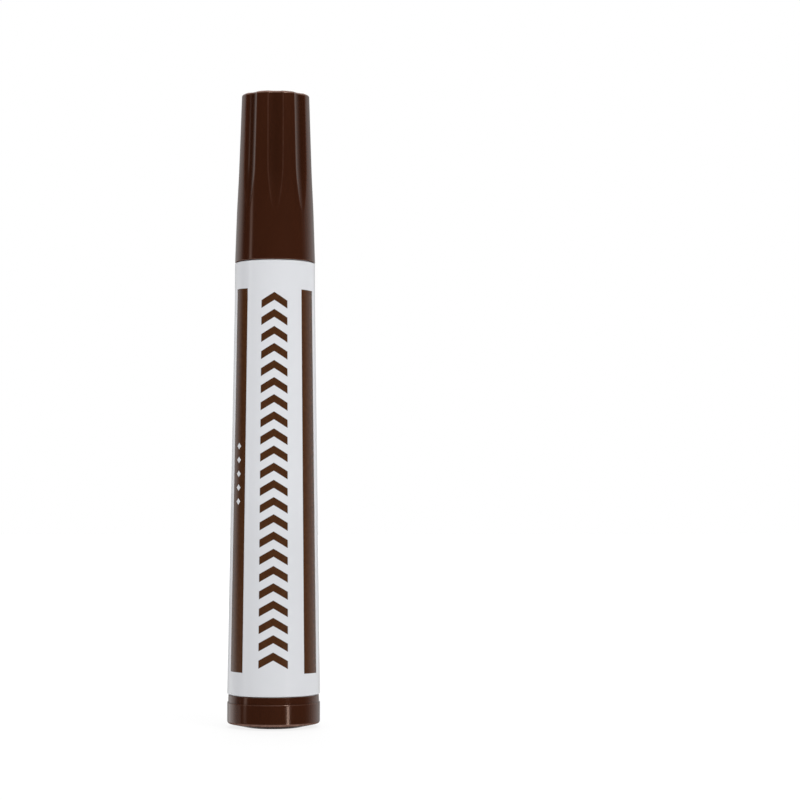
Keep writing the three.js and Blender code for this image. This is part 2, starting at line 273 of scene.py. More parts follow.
def turned(name, outline, sides, relief=None):
    """A closed mesh turned about Z from an outline with the material on its left.

    The outline starts and ends on the axis, or is closed. relief(angle, radius, height) may give a
    point another radius, and a number to add to its edge mark: wear and painted highlight along
    edges, less than 0 for painted shade in hollows.
    The bake map has the angle across and the outline up it, with less room for what faces the axis.
    """
    inside_share = 0.25
    vertices, edge_and_hollow_marks, rings = [], [], []
    for radius, height, edge_and_hollow in outline:
        first = len(vertices)
        if radius == 0:
            vertices.append((0, 0, height))
            edge_and_hollow_marks.append(edge_and_hollow)
            rings.append([first] * sides)
            continue
        rings.append(list(range(first, first + sides)))
        for side in range(sides):
            angle = 2 * pi * side / sides
            reach, relief_mark = relief(angle, radius, height) if relief else (radius, 0)
            vertices.append((reach * sin(angle), -reach * cos(angle), height))
            edge_and_hollow_marks.append(edge_and_hollow + relief_mark)
    if outline[0][0] > 0:
        outline = [*outline, outline[0]]
        rings.append(rings[0])
    levels = [0]
    for before, after in zip(outline, outline[1:]):
        length = hypot(after[0] - before[0], after[1] - before[1])
        levels.append(levels[-1] + length * (inside_share if after[1] < before[1] else 1))
    faces, places = [], []
    for row in range(len(rings) - 1):
        lower, upper = rings[row], rings[row + 1]
        low, high = levels[row] / levels[-1], levels[row + 1] / levels[-1]
        for side in range(sides):
            following = (side + 1) % sides
            left, right = side / sides, (side + 1) / sides
            face = [lower[side], lower[following], upper[following], upper[side]]
            place = [(left, low), (right, low), (right, high), (left, high)]
            if face[0] == face[1]:
                del face[1], place[1]
            elif face[2] == face[3]:
                del face[3], place[3]
            faces.append(face)
            places += place
    mesh = bpy.data.meshes.new(name)
    mesh.from_pydata(vertices, [], faces)
    mesh.shade_smooth()
    mesh.set_sharp_from_angle(angle=CRISP_ANGLE)
    bake_map = mesh.uv_layers.new(name="OFBake")
    bake_map.data.foreach_set("uv", [share for place in places for share in place])
    mesh.attributes.new("edge_and_hollow", "FLOAT", "POINT").data.foreach_set("value", edge_and_hollow_marks)
    piece = bpy.data.objects.new(name, mesh)
    bpy.context.collection.objects.link(piece)
    return piece


def off_centre(angle, count):
    """The angle to the nearest of count marks evenly spaced round the axis from the front."""
    pitch = 2 * pi / count
    return (angle + pitch / 2) % pitch - pitch / 2


def bead(radius, middle, height):
    """Corners of a low bead on a wall that runs up. A negative height stands towards the axis."""
    half = BEAD_WIDTH / 2
    return [
        (radius, middle - half, BEAD_ROUND),
        (radius + height, middle - half / 2, BEAD_ROUND),
        (radius + height, middle + half / 2, BEAD_ROUND),
        (radius, middle + half, BEAD_ROUND),
    ]


BEAD_WIDTH = 1.0 * MM
BEAD_HEIGHT = 0.08 * MM
BEAD_ROUND = 0.3 * MM
BARREL_STRAIGHT = 7 * MM  # the stretch under the shoulder that has no taper
BARREL_SHOULDER_RADIUS = 7.475 * MM
BARREL_WALL = 1.2 * MM
BARREL_EDGE = 0.15 * MM
SHOULDER_THICKNESS = 1.6 * MM
NECK_LENGTH = 10 * MM
NECK_RADIUS = 6.375 * MM
NECK_WALL = 1.1 * MM
NECK_CHAMFER = 0.4 * MM
NECK_BEAD_LIFT = 4.1 * MM  # from the shoulder to the middle of the bead
PLUG_SEAT_LENGTH = 6.8 * MM
RIB_COUNT = 6
RIB_WIDTH = 0.8 * MM
RIB_INNER_RADIUS = 6.025 * MM
RIB_LEAD = 2 * MM  # from the plug's seat to the start of the ribs
RIB_SLOPE = 0.8 * MM  # their bevelled start
BARREL_SIDES = 240

barrel_low, barrel_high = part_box("barrel")
barrel_tail, tail_radius, neck_top = barrel_low.z, barrel_high.x, barrel_high.z
shoulder = neck_top - NECK_LENGTH
taper_end = shoulder - BARREL_STRAIGHT
bore_step = shoulder - SHOULDER_THICKNESS
neck_bore = NECK_RADIUS - NECK_WALL
plug_seat = tail_radius - BARREL_WALL
plug_seat_end = barrel_tail + PLUG_SEAT_LENGTH
rib_tail = plug_seat_end + RIB_LEAD


def barrel_radius(height):
    """The barrel's outside: a cone up to where the taper ends, then a cylinder."""
    share = clamp((height - barrel_tail) / (taper_end - barrel_tail))
    return tail_radius + (BARREL_SHOULDER_RADIUS - tail_radius) * share


def ribbed(angle, radius, height):
    """The bore's radius with the ribs on it. Other walls stay as they are."""
    if not rib_tail <= height < bore_step or radius > barrel_radius(height) - BARREL_WALL / 2:
        return radius, 0
    from_middle = abs(off_centre(angle - pi / 2, RIB_COUNT)) * radius
    flank = 2 * pi * radius / BARREL_SIDES
    fullness = clamp((RIB_WIDTH / 2 + flank / 2 - from_middle) / flank)
    rise = fullness * clamp((height - rib_tail) / RIB_SLOPE)
    return radius + (RIB_INNER_RADIUS - radius) * rise, 0


def bore_corner(height):
    return barrel_radius(height) - BARREL_WALL, height, 0


barrel_outline = rounded(
    [
        (plug_seat, barrel_tail, BARREL_EDGE),
        (tail_radius, barrel_tail, BARREL_EDGE),
        (BARREL_SHOULDER_RADIUS, taper_end, 0),
        (BARREL_SHOULDER_RADIUS, shoulder, BARREL_EDGE),
        (NECK_RADIUS, shoulder, BARREL_EDGE),
        *bead(NECK_RADIUS, shoulder + NECK_BEAD_LIFT, BEAD_HEIGHT),
        (NECK_RADIUS, neck_top - NECK_CHAMFER, BARREL_EDGE),
        (NECK_RADIUS - NECK_CHAMFER, neck_top, BARREL_EDGE),
        (neck_bore, neck_top, BARREL_EDGE),
        (neck_bore, bore_step, 0),
        bore_corner(bore_step),
        bore_corner(bore_step - BARREL_EDGE),
        bore_corner(taper_end),
        bore_corner(rib_tail + RIB_SLOPE),
        bore_corner(rib_tail),
        bore_corner(plug_seat_end),
        (plug_seat, plug_seat_end, 0),
    ]
)
white_barrel = turned("white_barrel", barrel_outline, BARREL_SIDES, ribbed)


def record_colour(slot, brightness=1.0):
    """The colour that the record gives a material slot, made brighter or darker."""
    finish = next(entry for entry in frame["record"]["materials"] if entry["slot"] == slot)
    return (*(channel * brightness for channel in finish["base_color"]), 1)


def new_group(name, inputs, outputs):
    """A shader node group of plain numbers, with its input and output sockets."""
    group = bpy.data.node_groups.new(name, "ShaderNodeTree")
    for socket in inputs:
        group.interface.new_socket(socket, in_out="INPUT", socket_type="NodeSocketFloat")
    for socket in outputs:
        group.interface.new_socket(socket, in_out="OUTPUT", socket_type="NodeSocketFloat")
    return group, group.nodes.new("NodeGroupInput").outputs, group.nodes.new("NodeGroupOutput").inputs


# Moulded skin: broad clouds of pigment and flow, and the fine grain of the mould's steel.
FLOW_STRETCH = (1, 1, 0.35)  # draws the clouds out along the pen
NOISE_RANGE = (0.3, 0.7)  # most of the noise lies between these
moulded_skin, given, asked = new_group(
    "moulded skin", ["Clouds per Metre", "Grains per Metre"], ["Cloud", "Grain"]
)
inside = wire(moulded_skin, "TexCoord").outputs["Object"]
flow = wire(moulded_skin, "VectorMath", {0: inside, 1: FLOW_STRETCH}, operation="MULTIPLY").outputs[0]
cloud = speckle(moulded_skin, flow, given["Clouds per Metre"], 3)
moulded_skin.links.new(ramp(moulded_skin, cloud, *NOISE_RANGE), asked["Cloud"])
moulded_skin.links.new(speckle(moulded_skin, inside, given["Grains per Metre"], 3), asked["Grain"])

# Edges and hollows: the corners that hands and the box have scuffed, in uneven patches (on the
# brown plastic a painted highlight as well as wear), and painted shade in the hollows.
LEAST_EDGE_MARK = 0.5  # between the patches
edges_and_hollows, given, asked = new_group(
    "edges and hollows", ["Rub", "Patches per Metre"], ["Scuff", "Hollow Shade"]
)
inside = wire(edges_and_hollows, "TexCoord").outputs["Object"]
patchy = speckle(edges_and_hollows, inside, given["Patches per Metre"], 4)
patches = ramp(edges_and_hollows, patchy, *NOISE_RANGE, LEAST_EDGE_MARK)
edge_mark = calc(edges_and_hollows, "MAXIMUM", calc(edges_and_hollows, "MULTIPLY", given["Rub"], patches), 0)
edges_and_hollows.links.new(edge_mark, asked["Scuff"])
hollow_shade = calc(edges_and_hollows, "MAXIMUM", calc(edges_and_hollows, "MULTIPLY", given["Rub"], -1), 0)
edges_and_hollows.links.new(hollow_shade, asked["Hollow Shade"])


# The colour of the painted shade in hollows.
HOLLOW_SHADE_COLOUR = (0.003, 0.002, 0.001, 1)
PATCHES_PER_CLOUD = 8
GRAIN_DULLS = 0.3  # what the grain adds to the roughness, as a share of a full edge mark


def moulded_plastic(name, colours, edge_colour, gloss, clouds, grains, grain_depth):
    """Moulded plastic in two tones, with an edge colour, painted shade in its hollows, and the roughness
    of its polished and of its marked parts.
    """
    material, tree, shader = new_material(name)
    skin = wire(tree, "Group", node_tree=moulded_skin)
    skin.inputs["Clouds per Metre"].default_value = clouds
    skin.inputs["Grains per Metre"].default_value = grains
    edges = wire(tree, "Group", node_tree=edges_and_hollows)
    edges.inputs["Patches per Metre"].default_value = clouds * PATCHES_PER_CLOUD
    edge_and_hollow = wire(tree, "Attribute", attribute_name="edge_and_hollow").outputs["Fac"]
    tree.links.new(edge_and_hollow, edges.inputs["Rub"])
    edge_mark = edges.outputs["Scuff"]
    unshaded = mix(tree, skin.outputs["Cloud"], *colours)
    # Painted shade darkens the hollows.
    body = mix(tree, edges.outputs["Hollow Shade"], unshaded, HOLLOW_SHADE_COLOUR)
    tree.links.new(mix(tree, edge_mark, body, edge_colour), shader.inputs["Base Color"])
    wear = calc(tree, "MULTIPLY_ADD", skin.outputs["Grain"], GRAIN_DULLS, edge_mark)
    tree.links.new(ramp(tree, wear, 0, 1, *gloss), shader.inputs["Roughness"])
    bump = {"Strength": 1.0, "Distance": grain_depth, "Height": skin.outputs["Grain"]}
    tree.links.new(wire(tree, "Bump", bump).outputs[0], shader.inputs["Normal"])
    return material


white_plastic = moulded_plastic(
    "white_plastic",
    colours=(record_colour("white_plastic", 0.98), record_colour("white_plastic", 1.01)),
    edge_colour=record_colour("white_plastic", 0.94),
    gloss=(0.34, 0.5),
    clouds=90,
    grains=4000,
    grain_depth=0.006 * MM,
)
white_barrel.data.materials.append(white_plastic)
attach(white_barrel, "pen")
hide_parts("barrel")


# Label
# A strip of glossy white film, printed in brown and wrapped round the barrel, with its end lapped over
# its start at the back. The print is two stripes and a column of plain arrowheads between them.
LABEL_GAP = 0.03 * MM
LABEL_THICKNESS = 0.12 * MM
LABEL_EDGE = 0.03 * MM
LABEL_REACH = 0.45 * MM  # how far the film runs on towards the barrel's ends
LAP_START, LAP_END = radians(172), radians(186)  # the lap's hidden start and its free edge
LAP_RISE = radians(4)
LAP_THICKNESS = 0.08 * MM
LABEL_SIDES = 360

label_low, label_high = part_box("label_sleeve")
label_tail, label_front = label_low.z - LABEL_REACH, label_high.z + LABEL_REACH


def film_corner(height, outside, rounding=0.0):
    thickness = LABEL_THICKNESS if outside else 0
    return barrel_radius(height) + LABEL_GAP + thickness, height, rounding


def lapped(angle, radius, height):
    """The film's outside, raised where its end lies over its start."""
    film_middle = barrel_radius(height) + LABEL_GAP + LABEL_THICKNESS / 2
    if radius < film_middle or not LAP_START < angle < LAP_END:
        return radius, 0
    return radius + LAP_THICKNESS * clamp((angle - LAP_START) / LAP_RISE), 0


label_outline = rounded(
    [
        film_corner(label_tail, False),
        film_corner(label_tail, True, LABEL_EDGE),
        film_corner(taper_end, True),
        film_corner(label_front, True, LABEL_EDGE),
        film_corner(label_front, False),
        film_corner(taper_end, False),
    ]
)
printed_label = turned("printed_label", label_outline, LABEL_SIDES, lapped)

# The print, in degrees round the barrel from its front and in millimetres along it.
STRIPE_ANGLES = (41.4, 67.3)
STRIPE_HEIGHTS = (10.45, 82.4)
PRINT_TURN = 0.8  # how far the strip was wrapped round to the left
PRINT_SKEW = 0.0022  # millimetres of height for each degree: it was wrapped a little askew
ARROW_ANGLE = 18.5  # half the width of the column
ARROW_PITCH = 3.2
ARROW_STROKE = 1.55
ARROW_RAKE = 0.085  # millimetres that an arm falls for each degree
ARROW_SIDE_SOFT = 0.3
ARROW_HEIGHTS = (12.9, 83.3)
DIAMOND_ANGLE = -54.5
DIAMOND_PITCH = 2.6
DIAMOND_HALF = 0.62
DIAMOND_HEIGHTS = (41, 54)
MM_PER_DEGREE = radians(8.15)  # along the middle of the barrel
INK_EDGE = 0.04
RAGGED = 0.05  # how uneven the print's edges are
RAGGED_DEGREES = 5  # round the barrel, for each millimetre of that
RAGS_PER_METRE = 3500

printed_film, tree, shader = new_material("printed_film")
where = wire(tree, "TexCoord").outputs["Object"]
axes = wire(tree, "SeparateXYZ", {0: where}).outputs
ragged = calc(tree, "MULTIPLY_ADD", speckle(tree, where, RAGS_PER_METRE), RAGGED, -RAGGED / 2)
angle = calc(tree, "DEGREES", calc(tree, "ARCTAN2", axes["X"], calc(tree, "MULTIPLY", axes["Y"], -1)))
across = calc(tree, "MULTIPLY_ADD", ragged, RAGGED_DEGREES, calc(tree, "ADD", angle, PRINT_TURN))
skew = calc(tree, "MULTIPLY", angle, PRINT_SKEW)
height = total(tree, [calc(tree, "DIVIDE", axes["Z"], MM), skew, ragged])
from_front = calc(tree, "ABSOLUTE", across)

stripe_width = band(tree, from_front, *STRIPE_ANGLES, INK_EDGE / MM_PER_DEGREE)
stripes = calc(tree, "MULTIPLY", stripe_width, band(tree, height, *STRIPE_HEIGHTS, INK_EDGE))

arrow_height = calc(tree, "MULTIPLY_ADD", from_front, ARROW_RAKE, height)
up_column = calc(tree, "SUBTRACT", arrow_height, ARROW_HEIGHTS[0])
arrow_row = calc(tree, "FLOORED_MODULO", up_column, ARROW_PITCH)
arms = band(tree, arrow_row, INK_EDGE, ARROW_STROKE, INK_EDGE)
column = band(tree, arrow_height, *ARROW_HEIGHTS, INK_EDGE)
sides = ramp(tree, from_front, ARROW_ANGLE + ARROW_SIDE_SOFT, ARROW_ANGLE - ARROW_SIDE_SOFT)
arrows = calc(tree, "MULTIPLY", arms, calc(tree, "MULTIPLY", column, sides))

from_diamond = calc(tree, "MULTIPLY", calc(tree, "SUBTRACT", across, DIAMOND_ANGLE), MM_PER_DEGREE)
up_diamonds = calc(tree, "SUBTRACT", height, DIAMOND_HEIGHTS[0])
diamond_row = calc(tree, "FLOORED_MODULO", up_diamonds, DIAMOND_PITCH)
up_diamond = calc(tree, "ABSOLUTE", calc(tree, "SUBTRACT", diamond_row, DIAMOND_PITCH / 2))
diamond_reach = calc(tree, "ADD", calc(tree, "ABSOLUTE", from_diamond), up_diamond)
diamond = ramp(tree, diamond_reach, DIAMOND_HALF + INK_EDGE, DIAMOND_HALF - INK_EDGE)
diamonds = calc(tree, "MULTIPLY", diamond, band(tree, height, *DIAMOND_HEIGHTS, INK_EDGE))
ink = calc(tree, "MAXIMUM", calc(tree, "SUBTRACT", stripes, diamonds), arrows)

INK_BROWN = (0.068, 0.0245, 0.009, 1)
INK_LIGHT = (0.081, 0.031, 0.0115, 1)
INK_MOTTLE = (0.35, 0.7)  # the noise at which the ink is brown and light
INK_SHINE = 0.4  # how much glossier than the film it is
INK_THICKNESS = 0.25  # as a share of the film's ripples
FILM_GLOSS = (0.14, 0.22)
RIPPLE_STRETCH = (1, 1, 0.12)
RIPPLES_PER_METRE = 220
RIPPLE_DEPTH = 0.004 * MM
MOTTLES_PER_METRE = 1500
LOWER_SHADE_HEIGHTS = (48 * MM, 31 * MM)  # over which the film is painted darker towards the bottom as shade, from the upper down

stretch = wire(tree, "VectorMath", {0: where, 1: RIPPLE_STRETCH}, operation="MULTIPLY").outputs[0]
ripple = speckle(tree, stretch, RIPPLES_PER_METRE, 2)
mottle = speckle(tree, where, MOTTLES_PER_METRE, 3)
unshaded = mix(tree, ripple, record_colour("printed_film", 0.96), record_colour("printed_film", 0.975))
# Painted shade: the film is darker towards the bottom.
lower_shade = ramp(tree, axes["Z"], *LOWER_SHADE_HEIGHTS)
film = mix(tree, lower_shade, unshaded, record_colour("printed_film", 0.92))
print_colour = mix(tree, ramp(tree, mottle, *INK_MOTTLE), INK_BROWN, INK_LIGHT)
tree.links.new(mix(tree, ink, film, print_colour), shader.inputs["Base Color"])
dulled = calc(tree, "MULTIPLY_ADD", ink, -INK_SHINE, mottle)
tree.links.new(ramp(tree, dulled, 0, 1, *FILM_GLOSS), shader.inputs["Roughness"])
layers = calc(tree, "MULTIPLY_ADD", ink, INK_THICKNESS, ripple)
film_bump = {"Strength": 1.0, "Distance": RIPPLE_DEPTH, "Height": layers}
tree.links.new(wire(tree, "Bump", film_bump).outputs[0], shader.inputs["Normal"])
printed_label.data.materials.append(printed_film)
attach(printed_label, "pen")
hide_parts("label_sleeve")


# Ink reservoir
# A rod of bundled polyester fibre, cut square at both ends and soaked with brown ink. The nib's tail is
# pushed into a hole in its front end.
NIB_HOLE_RADIUS = 2.57 * MM
NIB_HOLE_DEPTH = 4.8 * MM
BUNDLE_COUNT = 36
BUNDLE_DEPTH = 0.06 * MM
BUNDLE_WAVE, BUNDLE_WANDER = 0.3, 0.2  # the even and the uneven share of that
WANDERS_ROUND = 4
RESERVOIR_EDGE = 0.25 * MM
RESERVOIR_SIDES = 288

reservoir_low, reservoir_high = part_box("ink_reservoir")
reservoir_radius = reservoir_high.x
hole_end = reservoir_high.z - NIB_HOLE_DEPTH


def bundled(angle, radius, height):
    """The rod's outside, in shallow lengthwise bundles of fibre."""
    if radius < (reservoir_radius + NIB_HOLE_RADIUS) / 2:
        return radius, 0
    wander = noise.noise(Vector((cos(angle), sin(angle), 0)) * WANDERS_ROUND)
    wave = cos(BUNDLE_COUNT * angle)
    return radius - BUNDLE_DEPTH * (0.5 + BUNDLE_WAVE * wave + BUNDLE_WANDER * wander), 0


reservoir_outline = rounded(
    [
        (0, reservoir_low.z, 0),
        (reservoir_radius, reservoir_low.z, RESERVOIR_EDGE),
        (reservoir_radius, reservoir_high.z, RESERVOIR_EDGE),
        (NIB_HOLE_RADIUS, reservoir_high.z, RESERVOIR_EDGE),
        (NIB_HOLE_RADIUS, hole_end, 0),
        (0, hole_end, 0),
    ]
)
fibre_reservoir = turned("fibre_reservoir", reservoir_outline, RESERVOIR_SIDES, bundled)

# Inked fibre: fine strands that run along the pen, with ink that has soaked in unevenly.
STRAND_STRETCH = (1, 1, 0.06)
inked_fibre, given, asked = new_group(
    "inked fibre", ["Strands per Metre", "Soak per Metre"], ["Strand", "Soak"]
)
inside = wire(inked_fibre, "TexCoord").outputs["Object"]
along = wire(inked_fibre, "VectorMath", {0: inside, 1: STRAND_STRETCH}, operation="MULTIPLY").outputs[0]
inked_fibre.links.new(speckle(inked_fibre, along, given["Strands per Metre"], 4), asked["Strand"])
soak = speckle(inked_fibre, inside, given["Soak per Metre"], 3)
inked_fibre.links.new(ramp(inked_fibre, soak, *NOISE_RANGE), asked["Soak"])


SOAK_SHARE, STRAND_SHARE = 0.6, 0.4  # in how dry the felt looks
FELT_ROUGHNESS = (0.7, 0.95)
FELT_SHEEN = 0.25


def soaked_felt(name, dry, wet, strands, soak, strand_depth):
    """Felt or fibre bundle, between its dry and its wet colour."""
    material, tree, shader = new_material(name)
    fibre = wire(tree, "Group", node_tree=inked_fibre)
    fibre.inputs["Strands per Metre"].default_value = strands
    fibre.inputs["Soak per Metre"].default_value = soak
    strand = calc(tree, "MULTIPLY", ramp(tree, fibre.outputs["Strand"], *NOISE_RANGE), STRAND_SHARE)
    dryness = calc(tree, "MULTIPLY_ADD", fibre.outputs["Soak"], SOAK_SHARE, strand)
    tree.links.new(mix(tree, dryness, wet, dry), shader.inputs["Base Color"])
    tree.links.new(ramp(tree, dryness, 0, 1, *FELT_ROUGHNESS), shader.inputs["Roughness"])
    bump = {"Strength": 1.0, "Distance": strand_depth, "Height": fibre.outputs["Strand"]}
    tree.links.new(wire(tree, "Bump", bump).outputs[0], shader.inputs["Normal"])
    shader.inputs["Sheen Weight"].default_value = FELT_SHEEN
    return material


reservoir_fibre = soaked_felt(
    "reservoir_fibre",
    dry=record_colour("reservoir_fibre", 1.35),
    wet=record_colour("reservoir_fibre", 0.75),
    strands=5000,
    soak=130,
    strand_depth=0.12 * MM,
)
fibre_reservoir.data.materials.append(reservoir_fibre)
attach(fibre_reservoir, "pen")
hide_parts("ink_reservoir")


# Reservoir wrap
# A thin clear film rolled round the fibre rod and welded along its length, which keeps the fibres
# together and the ink off the barrel. It is open at both ends.
WRAP_THICKNESS = 0.12 * MM
WELD_ANGLE = radians(180)
WELD_WIDTH = radians(6)
WELD_HEIGHT = 0.05 * MM
WRAP_EDGE = 0.03 * MM
WRAP_SIDES = 240
CREASES_PER_METRE = 300
CREASE_DEPTH = 0.03 * MM
WRAP_GLOSS = (0.12, 0.24)
WRAP_ALPHA = 0.4

wrap_low, wrap_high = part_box("reservoir_wrap")
wrap_radius = wrap_high.x


def welded(angle, radius, height):
    """The film's outside, raised along the weld."""
    if radius < wrap_radius - WRAP_THICKNESS / 2 or abs(angle - WELD_ANGLE) > WELD_WIDTH:
        return radius, 0
    return radius + WELD_HEIGHT * cos(pi / 2 * (angle - WELD_ANGLE) / WELD_WIDTH), 0


wrap_outline = rounded(
    [
        (wrap_radius - WRAP_THICKNESS, wrap_low.z, 0),
        (wrap_radius, wrap_low.z, WRAP_EDGE),
        (wrap_radius, wrap_high.z, WRAP_EDGE),
        (wrap_radius - WRAP_THICKNESS, wrap_high.z, 0),
    ]
)
film_wrap = turned("film_wrap", wrap_outline, WRAP_SIDES, welded)

clear_film, tree, shader = new_material("clear_film")
where = wire(tree, "TexCoord").outputs["Object"]
creases = speckle(tree, where, CREASES_PER_METRE, 3)
clear, cloudy = record_colour("clear_film", 0.9), record_colour("clear_film", 1.1)
tree.links.new(mix(tree, creases, clear, cloudy), shader.inputs["Base Color"])
tree.links.new(ramp(tree, creases, *NOISE_RANGE, *WRAP_GLOSS), shader.inputs["Roughness"])
wrap_bump = {"Strength": 1.0, "Distance": CREASE_DEPTH, "Height": creases}
tree.links.new(wire(tree, "Bump", wrap_bump).outputs[0], shader.inputs["Normal"])
shader.inputs["Alpha"].default_value = WRAP_ALPHA
film_wrap.data.materials.append(clear_film)
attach(film_wrap, "pen")
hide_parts("reservoir_wrap")


# Tail plug
# The dark brown plug that closes the tail, injection-moulded and pressed into the barrel up to its
# collar. The reservoir stands on the cross in its spigot, and the pen stands on its flat end.
PLUG_FLAT_RADIUS = 5.35 * MM
PLUG_BEVEL_HEIGHT = 0.76 * MM
PLUG_HEAD_TOP = 4.7 * MM
PLUG_TOP = 6.05 * MM
PLUG_EDGE = 0.5 * MM
PLUG_HEAD_EDGE = 0.48 * MM  # a full rounding that the collar cuts short
PLUG_HEAD_FALL = 0.11 * MM  # how far it falls to the head's side
PLUG_HEAD_TURN = radians(22)
PLUG_COLLAR_STEP = 0.16 * MM
PLUG_COLLAR_DRAFT = 0.05 * MM
PLUG_FLAT_EDGE = 0.6 * MM
PLUG_FLOOR = 2.4 * MM
SPIGOT_TOP = 12.65 * MM
SPIGOT_RADIUS = 7.28 * MM
SPIGOT_WALL = 1.2 * MM
SPIGOT_EDGE = 0.2 * MM
CROSS_WIDTH = 1.1 * MM
GATE_RADIUS = 1.1 * MM  # the dimple left by the mould's gate
GATE_DEPTH = 0.2 * MM
GATE_STUB = 0.35 * MM
GATE_EDGE = 0.06 * MM
PLUG_WEAR_AND_HIGHLIGHT = 0.5  # a painted highlight, partly wear that tables add, on the lower edge
PLUG_HIGHLIGHT_REACH = 0.2 * MM
PLUG_SIDES = 192

plug_low, plug_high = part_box("tail_plug")
plug_radius = plug_high.x
cross_top = plug_high.z
collar_radius = plug_radius - PLUG_COLLAR_STEP
spigot_bore = SPIGOT_RADIUS - SPIGOT_WALL


def gate_mark(face, up):
    """Corners of the gate's dimple and stub, from the axis out. The face looks up (1) or down (-1)."""
    floor_height = face - up * GATE_DEPTH
    stub_height = face - up * GATE_DEPTH / 4
    return [
        (0, stub_height, 0),
        (GATE_STUB, stub_height, GATE_EDGE),
        (GATE_STUB, floor_height, GATE_EDGE / 2),
        (GATE_RADIUS - GATE_DEPTH, floor_height, GATE_EDGE),
        (GATE_RADIUS, face, GATE_EDGE),
    ]


plug_outline = rounded(
    [
        *gate_mark(plug_low.z, -1),
        (PLUG_FLAT_RADIUS, plug_low.z, PLUG_FLAT_EDGE),
        (plug_radius, PLUG_BEVEL_HEIGHT, PLUG_EDGE),
        (plug_radius, PLUG_HEAD_TOP - PLUG_HEAD_FALL, PLUG_HEAD_EDGE),
        (plug_radius - PLUG_HEAD_FALL * tan(PLUG_HEAD_TURN), PLUG_HEAD_TOP, 0),
        (collar_radius, PLUG_HEAD_TOP, 0),
        (collar_radius - PLUG_COLLAR_DRAFT, PLUG_TOP, PLUG_COLLAR_STEP / 2),
        (SPIGOT_RADIUS, PLUG_TOP, 0),
        (SPIGOT_RADIUS, SPIGOT_TOP, SPIGOT_EDGE),
        (spigot_bore, SPIGOT_TOP, SPIGOT_EDGE),
        (spigot_bore, PLUG_FLOOR, 0),
        (0, PLUG_FLOOR, 0),
    ]
)


def highlit_lower_edge(angle, radius, height):
    """The plug as it is, with more wear and a painted highlight on the lower edge, which is set down on
    tables.
    """
    off_edge = hypot(radius - plug_radius, height - PLUG_BEVEL_HEIGHT)
    return radius, PLUG_WEAR_AND_HIGHLIGHT * exp(-((off_edge / PLUG_HIGHLIGHT_REACH) ** 2))


brown_plug = turned("brown_plug", plug_outline, PLUG_SIDES, highlit_lower_edge)


def join_cross(piece):
    """Joins the cross to the spigot, sunk half way into its wall and a little into its floor."""
    sunk = SPIGOT_WALL / 2
    length = 2 * (spigot_bore + sunk)
    bottom = PLUG_FLOOR - sunk
    for size in ((length, CROSS_WIDTH), (CROSS_WIDTH, length)):
        bar_mesh = bpy.data.meshes.new("cross_bar")
        bar_shape = bmesh.new()
        bmesh.ops.create_cube(bar_shape, size=1)
        bmesh.ops.scale(bar_shape, vec=(*size, cross_top - bottom), verts=bar_shape.verts)
        bmesh.ops.translate(bar_shape, vec=(0, 0, (cross_top + bottom) / 2), verts=bar_shape.verts)
        bar_shape.to_mesh(bar_mesh)
        bar_shape.free()
        bar = bpy.data.objects.new("cross_bar", bar_mesh)
        bpy.context.collection.objects.link(bar)
        union = piece.modifiers.new("cross", "BOOLEAN")
        union.operation = "UNION"
        union.solver = "EXACT"
        union.object = bar
        bpy.context.view_layer.objects.active = piece
        bpy.ops.object.modifier_apply(modifier=union.name)
        bpy.data.objects.remove(bar)
        bpy.data.meshes.remove(bar_mesh)


join_cross(brown_plug)

# Much paler than the brown, so that its marked edges carry a painted highlight as well as wear.
BROWN_WEAR_AND_HIGHLIGHT = (0.23, 0.122, 0.092, 1)
BROWN_GLINT = (1, 0.7, 0.57, 1)  # its reflections are a little warm
BROWN_SHINE = 0.61

brown_plastic = moulded_plastic(
    "brown_plastic",
    colours=(record_colour("brown_plastic", 0.86), record_colour("brown_plastic", 0.99)),
    edge_colour=BROWN_WEAR_AND_HIGHLIGHT,
    gloss=(0.13, 0.34),
    clouds=110,
    grains=3500,
    grain_depth=0.002 * MM,
)
brown_shader = brown_plastic.node_tree.nodes["Principled BSDF"]
brown_shader.inputs["Specular Tint"].default_value = BROWN_GLINT
brown_shader.inputs["Specular IOR Level"].default_value = BROWN_SHINE
brown_plug.data.materials.append(brown_plastic)
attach(brown_plug, "pen")
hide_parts("tail_plug")


# Nib holder
# The white nose, moulded in the same plastic as the barrel and pressed into the neck. Its land is what
# the cap's liner seals on, and four slots along its bore let air back to the reservoir.
HOLDER_SPIGOT_RADIUS = 5.155 * MM
HOLDER_SPIGOT_LENGTH = 8 * MM
HOLDER_FLANGE = 1 * MM
HOLDER_CONE = 2 * MM
HOLDER_LIP = 0.6 * MM
HOLDER_LIP_WALL = 1 * MM
HOLDER_LAND_RADIUS = 4.235 * MM
HOLDER_BORE = 2.57 * MM
HOLDER_EDGE = 0.15 * MM
VENT_COUNT = 4
VENT_WIDTH = 0.8 * MM
VENT_DEPTH = 0.6 * MM
VENT_MARGIN = 1.3  # slots cut the bore and its rounded ends, this many edges out
HOLDER_SIDES = 240

holder_low, holder_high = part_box("nib_holder")
holder_seat = holder_low.z + HOLDER_SPIGOT_LENGTH
flange_top = holder_seat + HOLDER_FLANGE
vent_inner = asin(VENT_WIDTH / 2 / HOLDER_BORE)
vent_outer = asin(VENT_WIDTH / 2 / (HOLDER_BORE + VENT_DEPTH))


def vented(angle, radius, height):
    """The bore's radius with the air slots cut in it."""
    if radius > HOLDER_BORE + HOLDER_EDGE * VENT_MARGIN:
        return radius, 0
    depth = clamp((vent_inner - abs(off_centre(angle, VENT_COUNT))) / (vent_inner - vent_outer))
    return radius + VENT_DEPTH * depth, 0


